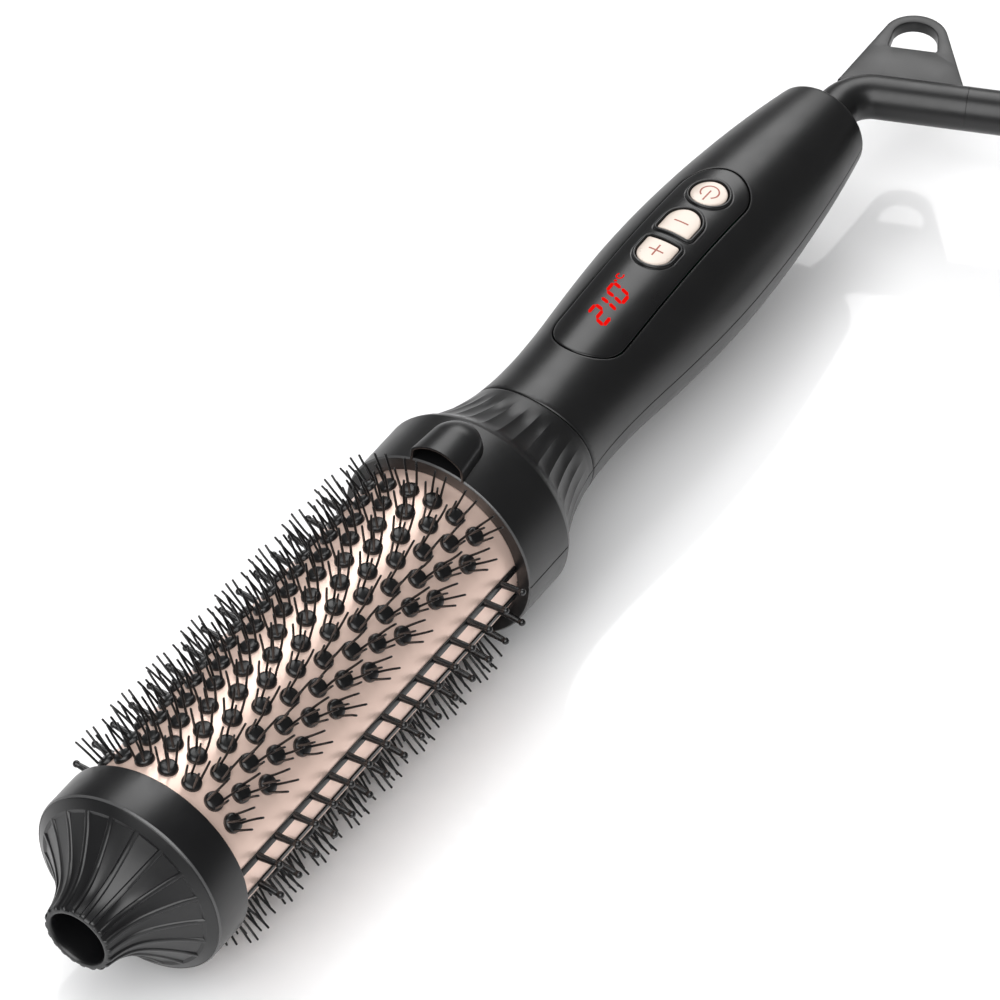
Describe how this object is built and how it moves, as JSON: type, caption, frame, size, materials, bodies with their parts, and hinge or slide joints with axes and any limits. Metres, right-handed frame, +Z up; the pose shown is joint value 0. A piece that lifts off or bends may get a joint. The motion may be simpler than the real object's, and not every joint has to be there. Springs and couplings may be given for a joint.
{
  "type": "heated round hair brush",
  "caption": "Heated ionic round brush with a bristled metal barrel, ribbed tip cap, collar, grip with display and keys, swivel cord and hang tab.",
  "frame": {"origin": "on the floor under the middle of the brush (tip mouth to the far end of the hang tab), below the brush axis; the brush lies on its lower bristles", "axes": "+X from the tip along the brush axis to the cord end, +Z up through the control panel, -Y the side the cord leaves towards"},
  "size_m": [0.4502, 0.1229, 0.0532],
  "materials": {
    "black_shell": "satin charcoal black, soft sheen",
    "rose_barrel": "satin rose-gold anodised",
    "black_bristle": "black nylon",
    "pin_nylon": "black nylon, smooth ball tips",
    "panel_black": "smooth gloss black",
    "lit_digits": "lit red",
    "key_rose": "pearly rose gold with copper-red symbols",
    "elbow_black": "satin black",
    "cord_rubber": "matt black flexible cable sheath",
    "plug_rubber": "matt black moulding",
    "plug_metal": "nickel-plated brass",
    "heat_block": "extruded, natural",
    "ptc_ceramic": "sintered, silvered faces",
    "mica": "pressed mica sheet",
    "steel": "zinc plated",
    "heatproof_plastic": "glass-filled, heat-proof",
    "silicone_lead": "silicone-sleeved wire",
    "board_green": "printed circuit board",
    "black_component": "moulded component case",
    "yellow_component": "capacitor case",
    "pad_rubber": "silicone key pad",
    "brass_contact": "bare brass"
  },
  "bodies": {
    "brush": {"tip_cap": "black_shell", "tip_plug": "heatproof_plastic", "tip_screw": "steel", "barrel_tube": "rose_barrel", "bristle_mat_upper": "black_bristle", "bristle_mat_lower": "black_bristle", "pin_comb_right": "pin_nylon", "pin_comb_left": "pin_nylon", "heat_block_upper": "heat_block", "heat_block_lower": "heat_block", "ptc_heaters": "ptc_ceramic", "mica_sheets": "mica", "tie_rod": "steel", "barrel_seat": "heatproof_plastic", "tie_nut": "steel", "ntc_sensor": "black_component", "thermal_fuse": "brass_contact", "heater_leads": "silicone_lead", "collar_upper_shell": "black_shell", "collar_lower_shell": "black_shell", "ion_hood": "black_shell", "ion_needle_holder": "heatproof_plastic", "ion_needle": "steel", "ion_lead": "silicone_lead", "handle_upper_shell": "black_shell", "handle_lower_shell": "black_shell", "shell_screws": "steel", "display_digits": "lit_digits", "control_panel": "panel_black", "key_pad": "pad_rubber", "tact_switches": "black_component", "display_module": "black_component", "main_board": "board_green", "board_screws": "steel", "triac": "black_component", "film_capacitor": "yellow_component", "ion_generator": "black_component", "swivel_bush": "heatproof_plastic", "slip_contacts": "brass_contact", "contact_block": "heatproof_plastic", "mains_leads": "silicone_lead"},
    "power_key": {"power_button": "key_rose"},
    "minus_key": {"minus_button": "key_rose"},
    "plus_key": {"plus_button": "key_rose"},
    "cord_swivel": {"swivel_elbow": "elbow_black", "swivel_inner_cable": "cord_rubber", "slip_rings": "brass_contact", "strain_relief": "elbow_black", "power_cord": "cord_rubber", "cord_coil": "cord_rubber", "plug_body": "plug_rubber", "plug_pins": "plug_metal"}
  },
  "joints": [
    {"name": "power_press", "type": "slide", "parent": "brush", "child": "power_key", "axis": [0, 0, -1], "range_m": [0, 0.0006], "stiffness_N_per_m": 900, "springref_m": -0.0006},
    {"name": "minus_press", "type": "slide", "parent": "brush", "child": "minus_key", "axis": [0, 0, -1], "range_m": [0, 0.0006], "stiffness_N_per_m": 900, "springref_m": -0.0006},
    {"name": "plus_press", "type": "slide", "parent": "brush", "child": "plus_key", "axis": [0, 0, -1], "range_m": [0, 0.0006], "stiffness_N_per_m": 900, "springref_m": -0.0006},
    {"name": "cord_swivel_turn", "type": "hinge", "parent": "brush", "child": "cord_swivel", "pos_m": [0.10916, 0, 0.02613], "axis": [1, 0, 0], "continuous": true}
  ]
}
